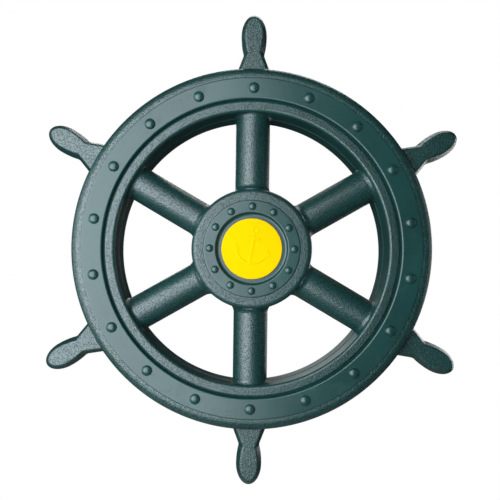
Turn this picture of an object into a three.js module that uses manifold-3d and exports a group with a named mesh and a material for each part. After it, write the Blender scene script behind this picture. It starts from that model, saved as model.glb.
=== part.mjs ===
// A playground ship's wheel. Six round spokes and six grip handles are held between the front and rear
// halves of a hollow rim and hub. A riveted band dresses the rim and a riveted ring dresses the hub, a
// snap-in cap covers the middle, and the wheel turns on a spindle that stands on a round wall plate.
//
// Units are millimetres. The wheel's axis lies along Y. Depth is the distance in front of the wall: the
// wall plate's back is at depth 0, the wheel faces -Y, and Z points up.
import * as THREE from 'three';
import { mergeVertices } from 'three/addons/utils/BufferGeometryUtils.js';
import Module from 'manifold-3d';

const wasm = await Module();
wasm.setup();

// ---- Driving dimensions ----

// Clearances
const fitGap = 0.3; // between pieces that are fixed to each other
const runningGap = 0.4; // between the still spindle and the turning bushes
const rivetHoleGap = 0.4; // around a rivet's shank

// Shells
const shellWall = 4;

// Hub face, from the axis outwards
const capRadius = 33.9;
const recessWidth = 6.3; // bare floor between the cap and the riveted ring
const hubRingWidth = 13.7;
const hubShoulderWidth = 13.8; // from the riveted ring to the hub's outer wall
const hubEdgeRadius = 6;
const hubSpokeCover = 7.7; // from a spoke's side to the hub's back, and to the riveted ring's face
const hubRingThickness = 4;
const hubRingProud = 1.5; // how far the ring stands above the hub's shoulder

// Rim face, from the axis outwards
const rimInnerRadius = 153;
const rimLipWidth = 11; // inner band, its rounding included
const rimGrooveWidth = 2.7;
const rimBandWidth = 23.3;
const rimShoulderWidth = 13.2;
const rimLipRadius = 4.5;
const rimShoulderRadius = 12;
const rimThickness = 56; // from the rim's back to the face of the band
const rimBandThickness = 4.3;
const rimBandProud = 1.6; // how far the band stands above the lip and the shoulder

// Spokes
const spokeCount = 6;
const spokeRadius = 19.3;
const spokeWall = 4;
const spokeRivetGap = 1.5; // between a spoke's inner end and the holes of the hub's rivets
const spokeInsertion = 7; // how far a spoke reaches past the rim's inner wall

// Handles
const handleRootWidth = 40;
const handleWaistWidth = 24.1;
const handleGripWidth = 29.2;
const handleTaperLength = 20.8; // from the rim to the waist
const handleSwellLength = 22; // from the waist to the widest point
const handleSwellLead = 10; // how early the swell reaches its full width
const handleTipLength = 24.5; // from the widest point to the tip
const handleThickness = 28;
const handleEdgeRadius = 4;
const tangWidth = 26;
const tangThickness = 18;
const tangLength = 14; // how far the tang reaches past the rim's outer wall

// Rivets
const rimRivetCount = 18;
const rimRivetHeadRadius = 5.9;
const rimRivetHeadHeight = 3.6;
const rimRivetShankRadius = 2.6;
const hubRivetCount = 12;
const hubRivetHeadRadius = 4.3;
const hubRivetHeadHeight = 2.8;
const hubRivetShankRadius = 2;
const rivetTail = 1.5; // how far a shank reaches past the shell's inner face

// Centre cap
const capOpeningRadius = 30; // hole in the hub's face that takes the cap's skirt
const capFlangeThickness = 1.6;
const capSkirtLength = 6;
const capSkirtWall = 2.2;

// Bearing
const spindleRadius = 8;
const spindleThreadRadius = 7.6;
const spindleTipLength = 2.2; // thread that shows past the nut
const spindleChamfer = 1.2;
const bushWall = 3.3;
const bushLength = 16;
const bushFlangeRadius = 16;
const bushFlangeThickness = 2;
const bushFlangeProud = 1.5; // how far the rear flange stands behind the hub's back
const coreRadius = 22;
const coreLength = 28;
const coreFlangeRadius = 40;
const coreFlangeThickness = 4;
const washerThickness = 2;
const rearWasherRadius = 19;
const frontWasherRadius = 15;
const nutAcrossFlats = 24;
const nutThickness = 9;

// Wall plate
const plateRadius = 60;
const plateThickness = 6;
const plateChamfer = 1.5;
const bossRadius = 20;
const bossHeight = 21; // sets the finger gap behind the rim
const bossWeld = 4;
const socketFloor = 4; // steel left behind the spindle
const plateHoleCount = 4;
const plateHoleRadius = 4;
const plateHoleCircle = 46;

// Facets
const rimFacets = 48;
const hubFacets = 36;
const spokeFacets = 20;
const bearingFacets = 24;
const smallFacets = 8;
const holeFacets = 12;
const edgeSteps = 3;

// ---- Sizes that follow ----

// Radii
const hubRingInnerRadius = capRadius + recessWidth;
const hubRingOuterRadius = hubRingInnerRadius + hubRingWidth;
const hubRadius = hubRingOuterRadius + hubShoulderWidth;
const hubRivetCircle = hubRingInnerRadius + hubRingWidth / 2;
const bandInnerRadius = rimInnerRadius + rimLipWidth + rimGrooveWidth;
const bandOuterRadius = bandInnerRadius + rimBandWidth;
const rimRadius = bandOuterRadius + rimShoulderWidth;
const rimRivetCircle = bandInnerRadius + rimBandWidth / 2;
const spokeInnerEnd = hubRivetCircle + hubRivetShankRadius + rivetHoleGap + spokeRivetGap;
const spokeOuterEnd = rimInnerRadius + spokeInsertion;
const waistRadius = rimRadius + handleTaperLength;
const widestRadius = waistRadius + handleSwellLength;

// Depths
const hubThickness = 2 * (spokeRadius + hubSpokeCover);
const bossFront = plateThickness + bossHeight;
const rearWasherBack = bossFront + fitGap;
const rearBushBack = rearWasherBack + washerThickness + fitGap;
const hubBack = rearBushBack + bushFlangeProud;
const midDepth = hubBack + hubThickness / 2;
const hubRingFace = hubBack + hubThickness;
const hubFace = hubRingFace - hubRingProud;
const hubSeat = hubRingFace - hubRingThickness - fitGap;
const rimBack = midDepth - rimThickness / 2;
const bandFace = midDepth + rimThickness / 2;
const rimFace = bandFace - rimBandProud;
const bandSeat = bandFace - rimBandThickness - fitGap;
const coreBack = rearBushBack + bushFlangeThickness + fitGap;
const coreFront = coreBack + coreLength;
const frontBushBack = coreFront + fitGap;
const frontWasherBack = frontBushBack + bushFlangeThickness + fitGap;
const nutBack = frontWasherBack + washerThickness + fitGap;
const nutFront = nutBack + nutThickness;
const spindleTip = nutFront + spindleTipLength;
const partingHalf = fitGap / 2;

// ---- Finishes ----

const grainedGreen = { color: 0x24484a, roughness: 0.62, metalness: 0 };
const smoothGreen = { color: 0x26504f, roughness: 0.38, metalness: 0 };
const yellow = { color: 0xffe400, roughness: 0.4, metalness: 0 };
const galvanisedSteel = { color: 0x9a9fa3, roughness: 0.5, metalness: 0.9 };
const brightSteel = { color: 0xb9bdc1, roughness: 0.3, metalness: 1 };
const blackPlastic = { color: 0x1d1f20, roughness: 0.55, metalness: 0 };

// ---- Tools for shapes ----

// A closed geometry as a solid that can be joined and cut.
function toSolid(geometry) {
  const bare = geometry.clone();
  bare.deleteAttribute('normal');
  bare.deleteAttribute('uv');
  const merged = mergeVertices(bare);
  const vertProperties = merged.attributes.position.array;
  const triVerts = new Uint32Array(merged.index.array);
  return new wasm.Manifold(new wasm.Mesh({ numProp: 3, vertProperties, triVerts }));
}

// A solid back as a geometry.
function toGeometry(solid) {
  const { vertProperties, triVerts } = solid.getMesh();
  const geometry = new THREE.BufferGeometry();
  geometry.setAttribute('position', new THREE.BufferAttribute(vertProperties, 3));
  geometry.setIndex(new THREE.BufferAttribute(triVerts, 1));
  geometry.computeVertexNormals();
  return geometry;
}

// The body with every tool taken out of it.
function cut(body, tools) {
  const solid = tools.reduce((rest, tool) => rest.subtract(toSolid(tool)), toSolid(body));
  return toGeometry(solid);
}

// Corners of a rounded edge, as [radius, depth], round a centre and between two angles in degrees.
function roundedEdge(centreRadius, centreDepth, radius, fromDegrees, toDegrees) {
  return Array.from({ length: edgeSteps + 1 }, (_, step) => {
    const angle = THREE.MathUtils.degToRad(
      fromDegrees + ((toDegrees - fromDegrees) * step) / edgeSteps
    );
    return [centreRadius + radius * Math.cos(angle), centreDepth + radius * Math.sin(angle)];
  });
}

// A shape turned about the wheel's axis. Its [radius, depth] corners run round the section with the
// material on the left, from the axis back to the axis, or round a closed ring.
function turned(corners, facets) {
  const points = corners.map(([radius, depth]) => new THREE.Vector2(radius, depth));
  const startsOnAxis = corners[0][0] === 0;
  if (!startsOnAxis) points.push(points[0].clone());
  return new THREE.LatheGeometry(points, facets);
}

// A ring with a rectangular section.
function ring(innerRadius, outerRadius, back, front, facets) {
  const corners = [
    [innerRadius, back],
    [outerRadius, back],
    [outerRadius, front],
    [innerRadius, front],
  ];
  return turned(corners, facets);
}

// Angles of a pattern that is evenly spaced round the axis, the first one straight up.
function evenAngles(count) {
  return Array.from({ length: count }, (_, index) => Math.PI / 2 - (index * 2 * Math.PI) / count);
}

// Round holes along the axis direction, evenly spaced on a circle.
function holesOnCircle(count, circleRadius, holeRadius, back, front, facets) {
  return evenAngles(count).map((angle) =>
    new THREE.CylinderGeometry(holeRadius, holeRadius, front - back, facets)
      .translate(circleRadius, (back + front) / 2, 0)
      .rotateY(angle)
  );
}

// Round sockets for the spokes through a wall between two radii.
function spokeSockets(innerRadius, outerRadius) {
  const socketRadius = spokeRadius + fitGap;
  return evenAngles(spokeCount).map((angle) =>
    new THREE.CylinderGeometry(socketRadius, socketRadius, outerRadius - innerRadius, spokeFacets)
      .rotateZ(-Math.PI / 2)
      .translate((innerRadius + outerRadius) / 2, midDepth, 0)
      .rotateY(angle)
  );
}

// Sockets in the hub, as deep as the spokes' inner ends.
function hubSpokeSockets() {
  return spokeSockets(spokeInnerEnd - fitGap, hubRadius + shellWall);
}

// Sockets in the rim, as deep as the spokes' outer ends.
function rimSpokeSockets() {
  return spokeSockets(rimInnerRadius - shellWall, spokeOuterEnd + fitGap);
}

// A bar of the tang's section, grown by a clearance, between two radii.
function tangBar(innerRadius, outerRadius, clearance) {
  const length = outerRadius - innerRadius;
  const thickness = tangThickness + 2 * clearance;
  return new THREE.BoxGeometry(length, thickness, tangWidth + 2 * clearance)
    .translate((innerRadius + outerRadius) / 2, midDepth, 0);
}

// Slots for the handles' tangs through the rim's outer wall.
function tangSlots() {
  return evenAngles(spokeCount).map((angle) =>
    tangBar(rimRadius - 2 * shellWall, rimRadius + shellWall, fitGap).rotateY(angle)
  );
}

// ---- Pieces ----

// Front half of the hollow rim: shoulder, seat of the band, groove and lip.
function rimFrontShell() {
  const seatOuter = bandOuterRadius + fitGap;
  const seatInner = bandInnerRadius - rimGrooveWidth;
  const ceiling = bandSeat - shellWall;
  const shoulderCentre = rimRadius - rimShoulderRadius;
  const lipCentre = rimInnerRadius + rimLipRadius;
  const body = turned(
    [
      [rimRadius, midDepth + partingHalf],
      ...roundedEdge(shoulderCentre, rimFace - rimShoulderRadius, rimShoulderRadius, 0, 90),
      [seatOuter, rimFace],
      [seatOuter, bandSeat],
      [seatInner, bandSeat],
      [seatInner, rimFace],
      ...roundedEdge(lipCentre, rimFace - rimLipRadius, rimLipRadius, 90, 180),
      [rimInnerRadius, midDepth + partingHalf],
      [rimInnerRadius + shellWall, midDepth + partingHalf],
      [rimInnerRadius + shellWall, ceiling],
      [shoulderCentre, ceiling],
      [rimRadius - shellWall, rimFace - rimShoulderRadius],
      [rimRadius - shellWall, midDepth + partingHalf],
    ],
    rimFacets
  );
  const rivetHoleRadius = rimRivetShankRadius + rivetHoleGap;
  return cut(body, [
    ...rimSpokeSockets(),
    ...tangSlots(),
    ...holesOnCircle(
      rimRivetCount, rimRivetCircle, rivetHoleRadius, ceiling - 1, bandSeat + 1, smallFacets
    ),
  ]);
}

// Rear half of the hollow rim.
function rimRearShell() {
  const shoulderCentre = rimRadius - rimShoulderRadius;
  const lipCentre = rimInnerRadius + rimLipRadius;
  const floor = rimBack + shellWall;
  const body = turned(
    [
      [rimRadius, midDepth - partingHalf],
      [rimRadius - shellWall, midDepth - partingHalf],
      [rimRadius - shellWall, rimBack + rimShoulderRadius],
      [shoulderCentre, floor],
      [rimInnerRadius + shellWall, floor],
      [rimInnerRadius + shellWall, midDepth - partingHalf],
      [rimInnerRadius, midDepth - partingHalf],
      ...roundedEdge(lipCentre, rimBack + rimLipRadius, rimLipRadius, 180, 270),
      ...roundedEdge(shoulderCentre, rimBack + rimShoulderRadius, rimShoulderRadius, 270, 360),
    ],
    rimFacets
  );
  return cut(body, [
    ...rimSpokeSockets(),
    ...tangSlots(),
  ]);
}

// Flat band that the rim's rivets hold.
function rimBand() {
  const body = ring(bandInnerRadius, bandOuterRadius, bandFace - rimBandThickness, bandFace, rimFacets);
  const rivetHoleRadius = rimRivetShankRadius + rivetHoleGap;
  return cut(
    body,
    holesOnCircle(rimRivetCount, rimRivetCircle, rivetHoleRadius, bandSeat, bandFace + 1, smallFacets)
  );
}

// Front half of the hub: shoulder, seat of the riveted ring and opening for the cap.
function hubFrontShell() {
  const seatOuter = hubRingOuterRadius + fitGap;
  const ceiling = hubSeat - shellWall;
  const body = turned(
    [
      [hubRadius, midDepth + partingHalf],
      ...roundedEdge(hubRadius - hubEdgeRadius, hubFace - hubEdgeRadius, hubEdgeRadius, 0, 90),
      [seatOuter, hubFace],
      [seatOuter, hubSeat],
      [capOpeningRadius, hubSeat],
      [capOpeningRadius, ceiling],
      [hubRadius - shellWall, ceiling],
      [hubRadius - shellWall, midDepth + partingHalf],
    ],
    hubFacets
  );
  const rivetHoleRadius = hubRivetShankRadius + rivetHoleGap;
  return cut(body, [
    ...hubSpokeSockets(),
    ...holesOnCircle(
      hubRivetCount, hubRivetCircle, rivetHoleRadius, ceiling - 1, hubSeat + 1, smallFacets
    ),
  ]);
}

// Rear half of the hub, with the opening for the core.
function hubRearShell() {
  const opening = coreRadius + fitGap;
  const floor = hubBack + shellWall;
  const body = turned(
    [
      [hubRadius, midDepth - partingHalf],
      [hubRadius - shellWall, midDepth - partingHalf],
      [hubRadius - shellWall, floor],
      [opening, floor],
      [opening, hubBack],
      ...roundedEdge(hubRadius - hubEdgeRadius, hubBack + hubEdgeRadius, hubEdgeRadius, 270, 360),
    ],
    hubFacets
  );
  return cut(body, hubSpokeSockets());
}

// Riveted ring on the hub's face.
function hubRing() {
  const back = hubRingFace - hubRingThickness;
  const body = ring(hubRingInnerRadius, hubRingOuterRadius, back, hubRingFace, hubFacets);
  const rivetHoleRadius = hubRivetShankRadius + rivetHoleGap;
  return cut(
    body,
    holesOnCircle(hubRivetCount, hubRivetCircle, rivetHoleRadius, hubSeat, hubRingFace + 1, smallFacets)
  );
}

// Domed rivet along the axis direction, its head on a face and its shank through the pieces below.
function rivet(headRadius, headHeight, shankRadius, faceDepth, shellInnerFace) {
  const tail = shellInnerFace - rivetTail;
  const underHead = faceDepth + fitGap;
  return turned(
    [
      [0, tail],
      [shankRadius, tail],
      [shankRadius, underHead],
      [headRadius, underHead],
      [headRadius * 0.87, underHead + headHeight * 0.5],
      [headRadius * 0.5, underHead + headHeight * 0.87],
      [0, underHead + headHeight],
    ],
    smallFacets
  );
}

// Snap-in centre cap: a flange that covers the opening, and a skirt that holds in it.
function centreCap() {
  const flangeBack = hubSeat + fitGap;
  const flangeFace = flangeBack + capFlangeThickness;
  const skirtRadius = capOpeningRadius - fitGap;
  const skirtEnd = flangeBack - capSkirtLength;
  return turned(
    [
      [0, flangeBack],
      [skirtRadius - capSkirtWall, flangeBack],
      [skirtRadius - capSkirtWall, skirtEnd],
      [skirtRadius, skirtEnd],
      [skirtRadius, flangeBack],
      [capRadius, flangeBack],
      [capRadius, flangeFace],
      [0, flangeFace],
    ],
    hubFacets
  );
}

// Hollow spoke, lying along X from inside the hub to inside the rim.
function spoke() {
  return ring(spokeRadius - spokeWall, spokeRadius, spokeInnerEnd, spokeOuterEnd, spokeFacets)
    .rotateZ(-Math.PI / 2)
    .translate(0, midDepth, 0);
}

// Grip handle, lying along X. Its root is shaped to the rim's outer wall, and its tang enters the slot.
function handle() {
  const rootHalf = handleRootWidth / 2;
  const waistHalf = handleWaistWidth / 2;
  const gripHalf = handleGripWidth / 2;
  const rootCut = rimRadius + fitGap;
  const buried = rimRadius - rootHalf;
  const swellRadius = waistRadius + handleSwellLead;
  const outline = new THREE.Shape()
    .moveTo(buried, -rootHalf)
    .lineTo(rimRadius, -rootHalf)
    .lineTo(waistRadius, -waistHalf)
    .quadraticCurveTo(swellRadius, -gripHalf, widestRadius, -gripHalf)
    .absellipse(widestRadius, 0, handleTipLength, gripHalf, -Math.PI / 2, Math.PI / 2)
    .quadraticCurveTo(swellRadius, gripHalf, waistRadius, waistHalf)
    .lineTo(rimRadius, rootHalf)
    .lineTo(buried, rootHalf);
  const grip = new THREE.ExtrudeGeometry(outline, {
    depth: handleThickness - 2 * handleEdgeRadius,
    bevelEnabled: true,
    bevelThickness: handleEdgeRadius,
    bevelSize: handleEdgeRadius,
    bevelOffset: -handleEdgeRadius,
    bevelSegments: 2,
    curveSegments: 5,
  })
    .translate(0, 0, -(handleThickness - 2 * handleEdgeRadius) / 2)
    .rotateX(-Math.PI / 2)
    .translate(0, midDepth, 0);
  const rimDrum = new THREE.CylinderGeometry(rootCut, rootCut, 2 * handleThickness, rimFacets)
    .rotateY(Math.PI / 2)
    .translate(0, midDepth, 0);
  const tang = tangBar(rimRadius - tangLength, rimRadius + handleTaperLength / 2, 0);
  return toGeometry(toSolid(grip).subtract(toSolid(rimDrum)).add(toSolid(tang)));
}

// Bearing housing, with a flange that rests on the hub's back wall from inside.
function hubCore() {
  const bore = spindleRadius + runningGap + bushWall + fitGap;
  const flangeBack = hubBack + shellWall + fitGap;
  return turned(
    [
      [bore, coreBack],
      [coreRadius, coreBack],
      [coreRadius, flangeBack],
      [coreFlangeRadius, flangeBack],
      [coreFlangeRadius, flangeBack + coreFlangeThickness],
      [coreRadius, flangeBack + coreFlangeThickness],
      [coreRadius, coreFront],
      [bore, coreFront],
    ],
    bearingFacets
  );
}

// Flanged bush. Its flange starts at a depth and its sleeve runs forwards (+1) or backwards (-1).
function bush(flangeBack, direction) {
  const bore = spindleRadius + runningGap;
  const sleeveRadius = bore + bushWall;
  const flangeFront = flangeBack + bushFlangeThickness;
  const corners = direction > 0
    ? [
        [bore, flangeBack],
        [bushFlangeRadius, flangeBack],
        [bushFlangeRadius, flangeFront],
        [sleeveRadius, flangeFront],
        [sleeveRadius, flangeBack + bushLength],
        [bore, flangeBack + bushLength],
      ]
    : [
        [bore, flangeFront - bushLength],
        [sleeveRadius, flangeFront - bushLength],
        [sleeveRadius, flangeBack],
        [bushFlangeRadius, flangeBack],
        [bushFlangeRadius, flangeFront],
        [bore, flangeFront],
      ];
  return turned(corners, bearingFacets);
}

// Round wall plate with a welded boss, a blind socket for the spindle and holes for four wall screws.
function wallPlate() {
  const socketRadius = spindleRadius + fitGap;
  const body = turned(
    [
      [0, 0],
      [plateRadius, 0],
      [plateRadius, plateThickness - plateChamfer],
      [plateRadius - plateChamfer, plateThickness],
      [bossRadius + bossWeld, plateThickness],
      [bossRadius, plateThickness + bossWeld],
      [bossRadius, bossFront],
      [socketRadius, bossFront],
      [socketRadius, socketFloor],
      [0, socketFloor],
    ],
    hubFacets
  );
  return cut(
    body,
    holesOnCircle(plateHoleCount, plateHoleCircle, plateHoleRadius, -1, plateThickness + 1, holeFacets)
  );
}

// Spindle, from the bottom of its socket to its threaded tip.
function spindle() {
  return turned(
    [
      [0, socketFloor + fitGap],
      [spindleRadius, socketFloor + fitGap],
      [spindleRadius, nutBack - fitGap],
      [spindleThreadRadius, nutBack - fitGap],
      [spindleThreadRadius, spindleTip - spindleChamfer],
      [spindleThreadRadius - spindleChamfer, spindleTip],
      [0, spindleTip],
    ],
    bearingFacets
  );
}

// Washer round the spindle.
function washer(outerRadius, back) {
  return ring(spindleRadius + fitGap, outerRadius, back, back + washerThickness, bearingFacets);
}

// Hexagonal lock nut on the spindle's thread.
function lockNut() {
  const cornerRadius = nutAcrossFlats / Math.sqrt(3);
  const corners = Array.from({ length: 6 }, (_, index) => {
    const angle = (index * Math.PI) / 3;
    return new THREE.Vector2(cornerRadius * Math.cos(angle), cornerRadius * Math.sin(angle));
  });
  const hexagon = new THREE.Shape(corners);
  const threadHole = new THREE.Path();
  threadHole.absarc(0, 0, spindleThreadRadius + fitGap, 0, 2 * Math.PI, true);
  hexagon.holes.push(threadHole);
  return new THREE.ExtrudeGeometry(hexagon, {
    depth: nutThickness,
    bevelEnabled: false,
    curveSegments: bearingFacets / 2,
  })
    .rotateX(-Math.PI / 2)
    .translate(0, nutBack, 0);
}

// ---- The assembly ----

// Turned over about X, so that depth runs towards -Y and angles run from +X towards +Z.
const shipsWheel = new THREE.Group();
shipsWheel.rotation.x = Math.PI;

function addPiece(name, geometry, look, angle = 0) {
  const piece = new THREE.Mesh(geometry, new THREE.MeshStandardMaterial(look));
  piece.name = name;
  piece.rotation.y = angle;
  shipsWheel.add(piece);
}

function addRivets(prefix, count, circleRadius, geometry) {
  const placed = geometry.translate(circleRadius, 0, 0);
  evenAngles(count).forEach((angle, index) => {
    addPiece(`${prefix}_${String(index + 1).padStart(2, '0')}`, placed, smoothGreen, angle);
  });
}

addPiece('rim_front_shell', rimFrontShell(), grainedGreen);
addPiece('rim_rear_shell', rimRearShell(), grainedGreen);
addPiece('rim_band', rimBand(), smoothGreen);
addRivets(
  'rim_rivet', rimRivetCount, rimRivetCircle,
  rivet(rimRivetHeadRadius, rimRivetHeadHeight, rimRivetShankRadius, bandFace, bandSeat - shellWall)
);

const spokeGeometry = spoke();
const handleGeometry = handle();
evenAngles(spokeCount).forEach((angle, index) => {
  addPiece(`spoke_${index + 1}`, spokeGeometry, grainedGreen, angle);
  addPiece(`handle_${index + 1}`, handleGeometry, grainedGreen, angle);
});

addPiece('hub_front_shell', hubFrontShell(), grainedGreen);
addPiece('hub_rear_shell', hubRearShell(), grainedGreen);
addPiece('hub_ring', hubRing(), smoothGreen);
addRivets(
  'hub_rivet', hubRivetCount, hubRivetCircle,
  rivet(hubRivetHeadRadius, hubRivetHeadHeight, hubRivetShankRadius, hubRingFace, hubSeat - shellWall)
);
addPiece('centre_cap', centreCap(), yellow);

addPiece('hub_core', hubCore(), blackPlastic);
addPiece('rear_bush', bush(rearBushBack, 1), blackPlastic);
addPiece('front_bush', bush(frontBushBack, -1), blackPlastic);

addPiece('wall_plate', wallPlate(), galvanisedSteel);
addPiece('spindle', spindle(), brightSteel);
addPiece('rear_washer', washer(rearWasherRadius, rearWasherBack), brightSteel);
addPiece('front_washer', washer(frontWasherRadius, frontWasherBack), brightSteel);
addPiece('lock_nut', lockNut(), brightSteel);

export default shipsWheel;
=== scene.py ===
"""A playground ship's wheel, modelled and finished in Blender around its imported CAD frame.

The wheel's axis lies along Y, it faces -Y, and Z points up. Radii are measured from the axis. Depths are
measured from the wall towards the front, so a depth of 58 mm is the place y = -0.058 m.
"""

import logging
import math
from collections.abc import Callable, Iterator
from contextlib import contextmanager
from dataclasses import dataclass, field
from enum import Enum

import bmesh
import bpy
from mathutils import Matrix, Vector


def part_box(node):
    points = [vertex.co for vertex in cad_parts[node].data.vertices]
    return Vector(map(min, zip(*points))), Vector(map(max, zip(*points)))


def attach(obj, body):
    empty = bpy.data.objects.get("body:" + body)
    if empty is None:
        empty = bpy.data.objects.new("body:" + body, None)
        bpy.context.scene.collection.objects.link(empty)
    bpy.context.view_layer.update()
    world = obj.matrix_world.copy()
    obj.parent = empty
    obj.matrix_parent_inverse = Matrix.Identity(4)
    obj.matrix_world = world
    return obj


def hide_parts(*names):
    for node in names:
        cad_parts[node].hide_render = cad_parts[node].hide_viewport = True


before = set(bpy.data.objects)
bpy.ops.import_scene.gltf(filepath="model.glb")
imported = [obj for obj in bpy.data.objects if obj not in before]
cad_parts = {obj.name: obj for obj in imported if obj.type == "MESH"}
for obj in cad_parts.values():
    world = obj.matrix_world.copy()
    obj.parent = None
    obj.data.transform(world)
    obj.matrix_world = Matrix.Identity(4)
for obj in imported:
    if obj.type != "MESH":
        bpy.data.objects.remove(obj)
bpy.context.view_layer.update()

LOG = logging.getLogger("ships_wheel")
MM = 0.001
FULL_TURN = 2 * math.pi
WELD_DISTANCE = 1e-6

Colour = tuple[float, float, float]
Piece = bpy.types.Object


class Body(str, Enum):
    """The two bodies of the frame."""

    WHEEL = "wheel"
    MOUNT = "mount"


class Slot(str, Enum):
    """The record's material slots."""

    GRAINED_GREEN = "grained_green"
    SMOOTH_GREEN = "smooth_green"
    YELLOW = "yellow"
    BLACK_PLASTIC = "black_plastic"
    GALVANISED_STEEL = "galvanised_steel"
    BRIGHT_STEEL = "bright_steel"


class Corner(Enum):
    """A corner of a half section, numbered by the quarter turn that rounds it."""

    OUTER_FRONT = 0
    INNER_FRONT = 1
    INNER_BACK = 2
    OUTER_BACK = 3


# ---- Reading the frame ----


@dataclass(frozen=True)
class Reach:
    """How far a turned CAD piece reaches from the axis and from the wall, in millimetres."""

    inner: float
    outer: float
    back: float
    front: float

    @classmethod
    def of(cls, node: str) -> "Reach":
        """Measures a CAD node.

        Args:
            node: Name of the CAD node.

        Returns:
            Its least and greatest radius and depth.
        """
        places = [vertex.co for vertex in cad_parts[node].data.vertices]
        radii = [math.hypot(place.x, place.z) / MM for place in places]
        depths = [-place.y / MM for place in places]
        return cls(min(radii), max(radii), min(depths), max(depths))


# ---- Modelling steps that the pieces share ----


@dataclass(frozen=True)
class Ease:
    """Rounding of a face's border: its radius in millimetres, and the angle in degrees where it drops."""

    radius: float
    steep: float


class Section:
    """Half section of a turned piece, drawn corner by corner as radius and depth in millimetres."""

    def __init__(self, radius: float, depth: float) -> None:
        """Starts the section at one corner.

        Args:
            radius: Distance from the axis.
            depth: Distance in front of the wall.
        """
        self.corners = [(radius, depth)]

    def to(self, radius: float, depth: float) -> "Section":
        """Draws a straight stretch.

        Args:
            radius: Radius of its end.
            depth: Depth of its end.

        Returns:
            The section, for the next stretch.
        """
        self.corners.append((radius, depth))
        return self

    def arc(
        self, centre: tuple[float, float], radius: float, start: float, end: float, steps: int = 8
    ) -> "Section":
        """Draws a round stretch.

        Args:
            centre: Radius and depth of the arc's centre.
            radius: The arc's own radius.
            start: Angle of its first point in degrees, from outwards (0) towards the front (90).
            end: Angle of its last point in degrees.
            steps: Number of straight steps.

        Returns:
            The section, for the next stretch.
        """
        for step in range(steps + 1):
            angle = math.radians(start + (end - start) * step / steps)
            self.to(centre[0] + radius * math.cos(angle), centre[1] + radius * math.sin(angle))
        return self

    def rounded(self, corner: Corner, radius: float, depth: float, rounding: float, steps: int) -> "Section":
        """Draws a quarter round in place of a square corner.

        Args:
            corner: Which corner it is.
            radius: Radius of the square corner.
            depth: Depth of the square corner.
            rounding: The quarter round's own radius.
            steps: Number of straight steps.

        Returns:
            The section, for the next stretch.
        """
        inwards = -rounding if corner in (Corner.OUTER_FRONT, Corner.OUTER_BACK) else rounding
        deeper = -rounding if corner in (Corner.OUTER_FRONT, Corner.INNER_FRONT) else rounding
        start = 90 * corner.value
        return self.arc((radius + inwards, depth + deeper), rounding, start, start + 90, steps)

    def eased_face(self, reach: Reach, outer_ease: Ease, inner_ease: Ease) -> "Section":
        """Draws a front face whose two borders ease down before they drop.

        Args:
            reach: The face's inner and outer radius and its depth.
            outer_ease: Easing of the outer border.
            inner_ease: Easing of the inner border.

        Returns:
            The section, for the next stretch.
        """
        for border, ease, way in ((reach.outer, outer_ease, -1), (reach.inner, inner_ease, 1)):
            middle = border + way * ease.radius * math.cos(math.radians(ease.steep))
            ends = (ease.steep, 90.0) if way < 0 else (90.0, 180.0 - ease.steep)
            self.arc((middle, reach.front - ease.radius), ease.radius, *ends, 5)
        return self

    def close(self) -> "Section":
        """Returns to the first corner."""
        return self.to(*self.corners[0])


def pick(piece: Piece) -> None:
    """Makes one piece the only selected and the active one."""
    bpy.ops.object.select_all(action="DESELECT")
    piece.select_set(True)
    bpy.context.view_layer.objects.active = piece


@contextmanager
def editing(piece: Piece) -> Iterator[None]:
    """Opens edit mode on a piece with everything selected, and leaves it afterwards."""
    pick(piece)
    bpy.ops.object.mode_set(mode="EDIT")
    bpy.ops.mesh.select_all(action="SELECT")
    yield
    bpy.ops.object.mode_set(mode="OBJECT")


def new_piece(name: str) -> Piece:
    """Names the primitive that was just added and puts its place into its mesh.

    Args:
        name: Name for the object and its mesh.

    Returns:
        The object.
    """
    piece = bpy.context.object
    piece.name = name
    piece.data.name = name
    bpy.ops.object.transform_apply(location=True, rotation=True, scale=True)
    return piece


def reshape(piece: Piece, moved: Callable[[Vector], Vector]) -> None:
    """Moves each vertex of a piece in edit mode to a place worked out from its old one.

    Args:
        piece: The piece in edit mode.
        moved: Gives the new place for an old one.
    """
    mesh = bmesh.from_edit_mesh(piece.data)
    for vertex in mesh.verts:
        vertex.co = moved(vertex.co.copy())
    bmesh.update_edit_mesh(piece.data)


def close_up() -> None:
    """Merges doubled vertices and turns all faces outwards. Works in edit mode."""
    bpy.ops.mesh.select_all(action="SELECT")
    bpy.ops.mesh.remove_doubles(threshold=WELD_DISTANCE)
    bpy.ops.mesh.normals_make_consistent(inside=False)


def draw_line(places: list[Vector]) -> None:
    """Draws a line through places from the one vertex left of a primitive. Works in edit mode."""
    bpy.ops.mesh.merge(type="CENTER")
    for start, end in zip(places, places[1:]):
        bpy.ops.mesh.extrude_region_move(TRANSFORM_OT_translate={"value": end - start})
    bpy.ops.mesh.select_all(action="SELECT")
    bpy.ops.mesh.remove_doubles(threshold=WELD_DISTANCE)


def turn(name: str, section: Section, steps: int, off_axis: float = 0.0) -> Piece:
    """Draws a section by extruding a vertex, and spins it round an axis along Y.

    Args:
        name: Name of the new piece.
        section: The half section. It is closed, or it starts and ends on its axis.
        steps: Number of steps round the axis.
        off_axis: Height of the turning axis above the wheel's axis, in millimetres.

    Returns:
        The turned piece.
    """
    places = [Vector((radius, -depth, off_axis)) * MM for radius, depth in section.corners]
    bpy.ops.object.select_all(action="DESELECT")
    bpy.ops.mesh.primitive_plane_add(size=MM, location=places[0])
    piece = new_piece(name)
    with editing(piece):
        draw_line(places)
        axis_place = (0.0, 0.0, off_axis * MM)
        bpy.ops.mesh.spin(steps=steps, angle=FULL_TURN, center=axis_place, axis=(0.0, 1.0, 0.0))
        close_up()
    return piece


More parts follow.
